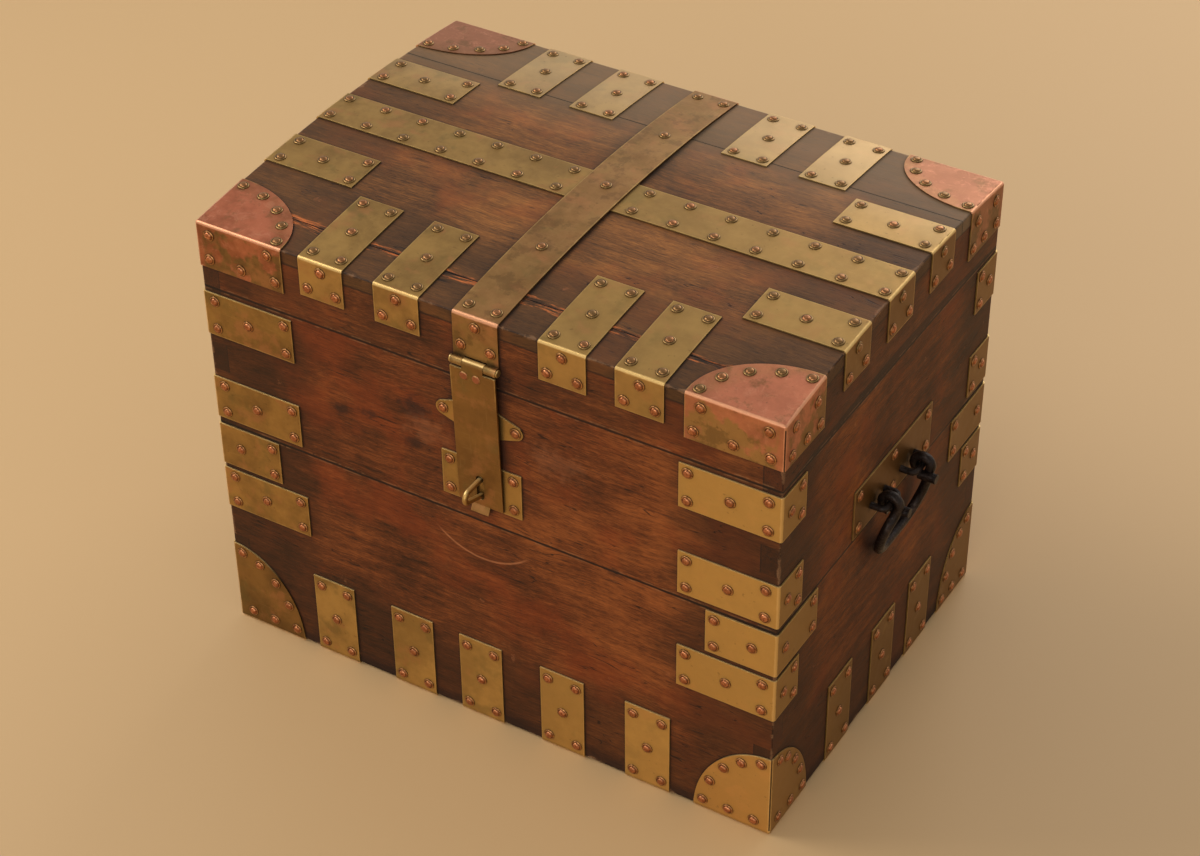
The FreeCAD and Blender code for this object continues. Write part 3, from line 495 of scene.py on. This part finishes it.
def brass(name, bright, dull, on_lid, right_light_tone, copper=None, copper_share=0.0):
    """Old sheet brass: clouds of tarnish, fine scratches, painted shade beside rivets and on the ends,
    painted light towards the right, rubbed bright at its folds with a painted highlight.
    """
    p = Paint(name)
    flat, in_x, in_y, in_z = p.inward(on_lid)
    x, y, _ = p.split(flat)
    moved = p.moved((3.1, 1.9, 2.7))
    clouds = p.noise(moved, 15.0, 4.0, 0.55, 0.5)
    mottle = p.noise(moved, 95.0, 4.0, 0.6)
    film = p.weighted((clouds, 0.74), (mottle, 0.26))
    colour = p.mix(p.smooth(film, 0.34, 0.66), bright, dull)
    colour = p.tint(colour, shade(118, 88, 46), p.lot, 0.22)
    # Rosy and greenish blooms
    rosy = p.patches(moved, (6.0, 2.0, 9.0), 34.0, 4.0, 0.6, 0.53, 0.68)
    green = p.patches(moved, (1.0, 4.0, 7.0), 27.0, 4.0, 0.6, 0.54, 0.68)
    colour = p.tint(colour, shade(182, 124, 78), rosy, 0.48)
    colour = p.tint(colour, shade(116, 102, 56), green, 0.46)
    # Painted light: lighter towards the right
    right_light = p.smooth(p.plus(x, p.span(clouds, -0.1, 0.1)), -0.5 * half_width, half_width)
    colour = p.tint(colour, right_light_tone, right_light, 0.5 if on_lid else 0.66)
    # Painted shade on the ends of the trunk, deeper away from the front
    end_shade = p.smooth(p.positive(p.split(p.normal)[0]), 0.5, 0.9)
    colour = p.tint(colour, shade(106, 71, 30), end_shade, p.span(p.smooth(y, -half_depth, 0.0), 0.52, 0.84))
    if copper is not None:
        colour = copper_blush(p, colour, copper, copper_share, moved, film, right_light, y, (in_x, in_y, in_z))
    elif on_lid:
        # Painted sheen: paler towards the back of the lid
        back_sheen = p.times(p.smooth(y, sheen_start, sheen_end), p.top_skin(in_z))
        colour = p.tint(colour, shade(222, 192, 148), back_sheen, 0.45)
    spots = p.smooth(p.noise(moved, 210.0, 2.0, 0.5), 0.68, 0.76)
    colour = p.tint(colour, shade(82, 58, 34), spots, 0.3)
    # Painted shade beside rivets and other raised parts
    nook_shade = p.smooth(p.plus(p.shut(6 * MM), p.span(mottle, -0.10, 0.10)), 0.95, 0.60)
    colour = p.tint(colour, shade(58, 42, 25), nook_shade, 0.65)
    # Cut edges and folds rubbed bright with a painted highlight along them, and fine scratches both ways
    edge = p.edge_distance(flat)
    edge_wear_and_glint = p.smooth(p.plus(edge, p.span(mottle, -1.2 * MM, 1.2 * MM)), 1.5 * MM, 0.2 * MM)
    colour = p.tint(colour, shade(206, 170, 104), edge_wear_and_glint, 0.45)
    arris = p.middle_of(in_x, in_y, in_z)
    fold = p.smooth(p.plus(arris, p.span(mottle, -1.0 * MM, 1.0 * MM)), 1.4 * MM, 0.4 * MM)
    colour = p.tint(colour, shade(226, 190, 124) if copper is None else shade(226, 164, 126), fold, 0.7)
    long_marks = p.noise(p.vector("MULTIPLY", moved, (0.05, 1, 1)), 900.0, 2.0, 0.6)
    cross_marks = p.noise(p.vector("MULTIPLY", moved, (1, 0.06, 0.06)), 700.0, 2.0, 0.6)
    marks = p.most(p.smooth(long_marks, 0.60, 0.72), p.smooth(cross_marks, 0.63, 0.74))
    colour = p.tint(colour, shade(200, 168, 108), marks, 0.12)
    if not on_lid:
        # Painted highlight on the upper edges at the front
        front_edge_glint = p.times(p.smooth(p.split(p.normal)[2], 0.6, 0.9), p.smooth(in_y, 3 * MM, 1 * MM))
        colour = p.tint(colour, shade(240, 208, 142), front_edge_glint, 0.75)
    rough = p.span(p.weighted((film, 0.8), (nook_shade, 0.4)), 0.36, 0.58)
    normal = p.node("Bevel", {"Radius": 0.5 * MM}, samples=4).outputs[0]
    normal = p.bump(p.noise(moved, 30.0, 2.0, 0.5), 0.25, 2.2 * MM, normal)
    normal = p.bump(p.minus(mottle, marks), 0.08, 0.25 * MM, normal)
    p.set(Base_Color=colour, Metallic=0.86, Roughness=rough, Normal=normal)
    return p.material


def rivet_metal(name):
    """Copper button on a bronze rove, with painted shade where the two meet and round the rim of the rove.
    """
    p = Paint(name)
    out = p.node("Attribute", {}, attribute_name="head_share").outputs["Fac"]
    moved = p.moved((5.0, 7.0, 3.0))
    mottle = p.noise(moved, 420.0, 3.0, 0.6)
    button = p.mix(p.smooth(mottle, 0.35, 0.65), shade(206, 136, 92), shade(152, 88, 54))
    button = p.tint(button, shade(150, 96, 60), p.lot, 0.55)
    rove = p.mix(p.smooth(mottle, 0.38, 0.66), shade(184, 132, 82), shade(130, 88, 52))
    # Browner on top of the lid
    on_top = p.smooth(p.split(p.place)[2], lid_edge_z - 6 * MM, lid_edge_z - 2 * MM)
    button = p.tint(button, shade(134, 106, 66), on_top, p.span(p.lot, 0.35, 0.85))
    rove = p.tint(rove, shade(138, 114, 70), on_top, 0.75)
    colour = p.mix(p.smooth(out, 0.67, 0.72), button, rove)
    # Painted shade where the button meets the rove
    crease_shade = p.times(p.smooth(out, 0.63, 0.68), p.smooth(out, 0.81, 0.73))
    colour = p.tint(colour, shade(52, 33, 20), crease_shade, 0.75)
    # Painted shade round the rim of the rove
    rim = p.smooth(out, 0.93, 1.0)
    colour = p.tint(colour, shade(66, 46, 28), rim, 0.6)
    normal = p.bump(mottle, 0.4, 0.3 * MM)
    p.set(Base_Color=colour, Metallic=0.9, Roughness=p.span(mottle, 0.24, 0.48), Normal=normal)
    return p.material


def iron(name):
    """Forged iron, pitted and nearly black, with brown rust in its hollows."""
    p = Paint(name)
    moved = p.moved((2.0, 3.0, 5.0))
    scale = p.noise(moved, 120.0, 5.0, 0.65)
    pits = p.smooth(p.noise(moved, 420.0, 3.0, 0.6), 0.48, 0.62)
    colour = p.ramp(scale, (0.30, shade(18, 13, 11)), (0.52, shade(35, 26, 22)), (0.72, shade(68, 55, 48)))
    colour = p.tint(colour, shade(46, 26, 17), pits, 0.5)
    forged = p.noise(moved, 60.0, 2.0, 0.5)
    normal = p.bump(forged, 0.5, 3.0 * MM)
    normal = p.bump(p.minus(scale, pits), 0.5, 0.6 * MM, normal)
    p.set(Base_Color=colour, Metallic=0.6, Roughness=p.span(scale, 0.28, 0.52), Normal=normal)
    return p.material


# Rivets, a finer head in the place of each one in the frame

# Radius and height in millimetres, from the rim of the rove to the top of the button
head_outline = ((6.1, 0.0), (6.1, 0.40), (5.85, 0.85), (5.35, 1.22), (4.9, 1.28), (4.4, 1.12), (4.05, 1.16),
                (3.95, 1.55), (3.65, 2.15), (3.0, 2.58), (2.0, 2.78), (0.9, 2.86))
head_sides = 20
rove_radius = head_outline[0][0]
button_radius = 4.1
# How much the heads differ, and how deep a button sits so that none rises past the solid
button_shift = 0.25
button_lean = 0.05
button_lean_lift = 0.3
button_sink = 0.2
button_dents = 0.06
rim_dents = 0.03
narrowest = 0.94
# Share of the greatest radius that counts as the rim of a rove
rim_share = 0.92


def rivet_places(node):
    """Seat and outward direction of each rivet of a node."""
    place, number = islands(nodes[node].data)
    order = np.argsort(number, kind="stable")
    cuts = np.flatnonzero(np.diff(number[order])) + 1
    for group in np.split(order, cuts):
        points = place[group].astype(float)
        centre = points.mean(0)
        ways = np.linalg.eigh(np.cov((points - centre).T))[1].T
        axis = max(ways, key=lambda way: np.ptp((points - centre) @ way))
        rise = (points - centre) @ axis
        out = np.linalg.norm(points - centre - np.outer(rise, axis), axis=1)
        rim = rise[out > rim_share * out.max()]
        if rim.mean() < (rise.max() + rise.min()) / 2:
            axis, rim = -axis, -rim
        yield Vector(centre + axis * rim.min()), Vector(axis)


def rivet_heads(name, node, body, seed):
    """All the rivet heads of a body: a rove with a hammered button, each a little different."""
    draw = random.Random(seed)
    points, faces, shares, lots = [], [], [], []
    for seat, axis in rivet_places(node):
        start = len(points)
        spin = Matrix.Rotation(draw.uniform(0, math.tau), 4, "Z")
        turn = axis.to_track_quat("Z", "Y").to_matrix().to_4x4()
        off = Vector([draw.uniform(-button_shift, button_shift) for _ in "xy"] + [0])
        lean = Vector([draw.uniform(-button_lean, button_lean) for _ in "xy"] + [0])
        squeeze = draw.uniform(narrowest, 1.0)
        lot = draw.random()
        for radius, height in head_outline:
            button = 1.0 if radius < button_radius else 0.0
            for i in range(head_sides):
                angle = math.tau * i / head_sides
                r = radius * (1.0 - rim_dents * draw.random())
                spot = Vector((r * math.cos(angle), r * squeeze * math.sin(angle), 0))
                sunk = button_dents * draw.random() + (lean.dot(spot) + button_sink) * button_lean_lift
                lift = height - sunk * button
                spot += off * button
                spot.z = max(0.0, lift) if height else 0.0
                points.append(seat + turn @ (spin @ (spot * MM)))
                shares.append(radius / rove_radius)
                lots.append(lot)
        for k in range(len(head_outline) - 1):
            for i in range(head_sides):
                j = (i + 1) % head_sides
                low = start + k * head_sides
                faces.append((low + i, low + j, low + head_sides + j, low + head_sides + i))
        top = start + (len(head_outline) - 1) * head_sides
        faces.append(tuple(range(top, top + head_sides)))
        faces.append(tuple(range(start + head_sides - 1, start - 1, -1)))
    mesh = bpy.data.meshes.new(name)
    mesh.from_pydata(points, [], faces)
    for field, values in (("head_share", shares), ("solid_lot", lots)):
        attribute = mesh.attributes.new(field, "FLOAT", "POINT")
        attribute.data.foreach_set("value", np.array(values, np.float32))
    mesh.shade_smooth()
    piece = bpy.data.objects.new(name, mesh)
    bpy.context.scene.collection.objects.link(piece)
    mesh.materials.append(rivet_paint)
    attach(piece, body)
    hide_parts(node)


# Materials and where they go

def dress(node, material):
    """Gives a node one material in place of its own."""
    slots = nodes[node].data.materials
    slots.clear()
    slots.append(material)


for number, node in enumerate(sorted(nodes)):
    if node not in ("lid_rivets", "chest_rivets"):
        mark_solids(node, number)

# Dark, middle, light and red tones
front_tones = (shade(52, 27, 12), shade(100, 51, 23), shade(148, 82, 38), shade(132, 56, 22))
side_tones = (shade(48, 24, 9), shade(92, 46, 17), shade(136, 73, 28), shade(120, 50, 17))
top_tones = (shade(56, 35, 18), shade(110, 69, 34), shade(160, 102, 50), shade(152, 80, 36))
raw_tones = (shade(70, 48, 32), shade(112, 80, 54), shade(146, 112, 78), shade(126, 88, 58))
# Marks on the front: x, z and reach in millimetres, strength and tone
bruise, scuff = shade(36, 24, 20), shade(158, 100, 66)
front_marks = ((-159, 333, 10, 0.8, bruise), (-128, 341, 9, 0.8, bruise), (-77, 367, 17, 0.85, bruise),
               (-77, 326, 10, 0.7, bruise), (143, 258, 9, 0.7, bruise), (-62, 346, 22, 0.3, scuff),
               (82, 363, 26, 0.28, scuff))
wood_top = wood("wood_lid_top", "x", "top", top_tones)
wood_rail_x = wood("wood_lid_rail_long", "x", "rail", front_tones)
wood_rail_y = wood("wood_lid_rail_short", "y", "rail", front_tones)
wood_front = wood("wood_chest_front", "x", "long", front_tones, front_marks)
wood_back = wood("wood_chest_back", "x", "long", front_tones)
wood_side = wood("wood_chest_side", "y", "short", side_tones)
wood_floor = wood("wood_chest_floor", "x", "long", raw_tones)

# Bright and dull brass, brass lit from the right for painted light, and copper
gold, olive, right_lit_gold = shade(178, 138, 74), shade(134, 101, 52), shade(222, 178, 102)
rose = shade(204, 120, 88)
brass_lid = brass("brass_lid", shade(186, 147, 84), shade(144, 111, 62), True, shade(182, 145, 86))
brass_chest = brass("brass_chest", gold, olive, False, right_lit_gold)
brass_dark = brass("brass_handle_plates", shade(138, 102, 54), shade(98, 70, 38), False, shade(146, 106, 54))
brass_hasp = brass("brass_hasp_strap", shade(168, 132, 78), shade(134, 100, 56), True, shade(168, 132, 78),
                   rose, 0.2)
brass_plate = brass("brass_hasp_plate", shade(152, 112, 58), shade(122, 86, 44), False, shade(146, 106, 54))
brass_caps = brass("copper_lid_caps", shade(156, 116, 66), shade(116, 86, 48), True, shade(196, 152, 92),
                   rose, 0.92)
brass_feet = brass("brass_foot_straps", shade(206, 166, 94), shade(160, 126, 68), False, right_lit_gold)
brass_foot_caps = brass("brass_foot_caps", shade(150, 112, 58), shade(114, 84, 42), False,
                        shade(232, 182, 104))
brass_bright = brass("brass_loop", shade(206, 166, 100), shade(160, 122, 66), False, right_lit_gold)
copper_studs = brass("copper_hasp_rivets", shade(178, 108, 76), shade(132, 78, 52), False,
                     shade(178, 108, 76))
rivet_paint = rivet_metal("copper_rivets")
iron_paint = iron("forged_iron")

# The longest start of a node's name that is listed gives its paint, and all the rest is chest brass
paints = {
    "lid_top": wood_top,
    "lid_front_rail": wood_rail_x, "lid_back_rail": wood_rail_x,
    "lid_left_rail": wood_rail_y, "lid_right_rail": wood_rail_y,
    "chest_front": wood_front, "chest_back": wood_back,
    "chest_left": wood_side, "chest_right": wood_side,
    "chest_bottom": wood_floor,
    "lid_cap": brass_caps, "hasp_strap": brass_hasp, "staple_plate": brass_chest, "staple": brass_bright,
    "hasp_pin": brass_bright, "hasp_plate": brass_plate, "hasp_rivets": copper_studs, "lid_": brass_lid,
    "front_foot": brass_feet, "foot_cap": brass_foot_caps,
    "right_handle_plate": brass_dark, "left_handle_plate": brass_dark,
    "right_bail": iron_paint, "left_bail": iron_paint,
    "right_handle_eyes": iron_paint, "left_handle_eyes": iron_paint,
}
for node in nodes:
    starts = [start for start in paints if node.startswith(start)]
    dress(node, paints[max(starts, key=len)] if starts else brass_chest)

rivet_heads("lid_rivet_heads", "lid_rivets", "lid", 11)
rivet_heads("chest_rivet_heads", "chest_rivets", "chest", 12)


# Floor, light and camera

def plain(name, colour, roughness):
    """One even colour, for the floor."""
    p = Paint(name)
    p.set(Base_Color=colour, Roughness=roughness)
    return p.material


def area_light(name, place, aim, size, power, colour):
    """A round soft lamp at a place, turned to its aim."""
    lamp = bpy.data.lights.new(name, "AREA")
    lamp.shape = "DISK"
    lamp.size = size
    lamp.energy = power
    lamp.color = colour
    holder = bpy.data.objects.new(name, lamp)
    holder.location = place
    holder.rotation_euler = (Vector(aim) - Vector(place)).to_track_quat("-Z", "Y").to_euler()
    bpy.context.scene.collection.objects.link(holder)


floor_mesh = bpy.data.meshes.new("floor")
floor_reach = 8.0
floor_mesh.from_pydata([(-floor_reach, -floor_reach, 0), (floor_reach, -floor_reach, 0),
                        (floor_reach, floor_reach, 0), (-floor_reach, floor_reach, 0)], [], [(0, 1, 2, 3)])
floor_mesh.materials.append(plain("floor", shade(202, 167, 120), 0.6))
floor = bpy.data.objects.new("floor", floor_mesh)
bpy.context.scene.collection.objects.link(floor)

area_light("key", (-2.4, -0.7, 2.7), (0, 0, 0.4), 2.0, 60, (1.0, 0.96, 0.90))
area_light("fill", (0.5, -3.0, 1.5), (0, 0, 0.3), 2.2, 28, (1.0, 0.97, 0.93))
area_light("back", (0.2, 2.9, 1.9), (0, 0, 0.4), 2.4, 36, (1.0, 0.97, 0.93))


def studio_sky(low, high, warm):
    """Pale all round, dimmer overhead."""
    world = bpy.data.worlds.new("studio")
    world.use_nodes = True
    tree = world.node_tree
    way = tree.nodes.new("ShaderNodeTexCoord").outputs["Generated"]
    parts = tree.nodes.new("ShaderNodeSeparateXYZ")
    strength = tree.nodes.new("ShaderNodeMapRange")
    strength.interpolation_type = "SMOOTHSTEP"
    strength.inputs["From Min"].default_value = 0.25
    strength.inputs["From Max"].default_value = 0.75
    strength.inputs["To Min"].default_value = low
    strength.inputs["To Max"].default_value = high
    sky = tree.nodes["Background"]
    sky.inputs["Color"].default_value = warm
    tree.links.new(way, parts.inputs[0])
    tree.links.new(parts.outputs["Z"], strength.inputs["Value"])
    tree.links.new(strength.outputs[0], sky.inputs["Strength"])
    bpy.context.scene.world = world


studio_sky(0.75, 0.35, (1.0, 0.96, 0.90, 1.0))

camera_place = Vector((1.1238, -1.8375, 1.8938))
camera_azimuth = math.radians(31.43)
camera_elevation = math.radians(37.67)
camera_roll = math.radians(-0.64)
camera_lens = 80.46
camera = bpy.data.objects.new("camera", bpy.data.cameras.new("camera"))
camera.data.lens = camera_lens
camera.data.sensor_width = 36.0
turned = Matrix.Rotation(camera_azimuth, 4, "Z")
tilted = Matrix.Rotation(math.pi / 2 - camera_elevation, 4, "X")
rolled = Matrix.Rotation(camera_roll, 4, "Z")
camera.matrix_world = Matrix.Translation(camera_place) @ turned @ tilted @ rolled
bpy.context.scene.collection.objects.link(camera)
bpy.context.scene.camera = camera
bpy.context.scene.view_settings.view_transform = "Standard"
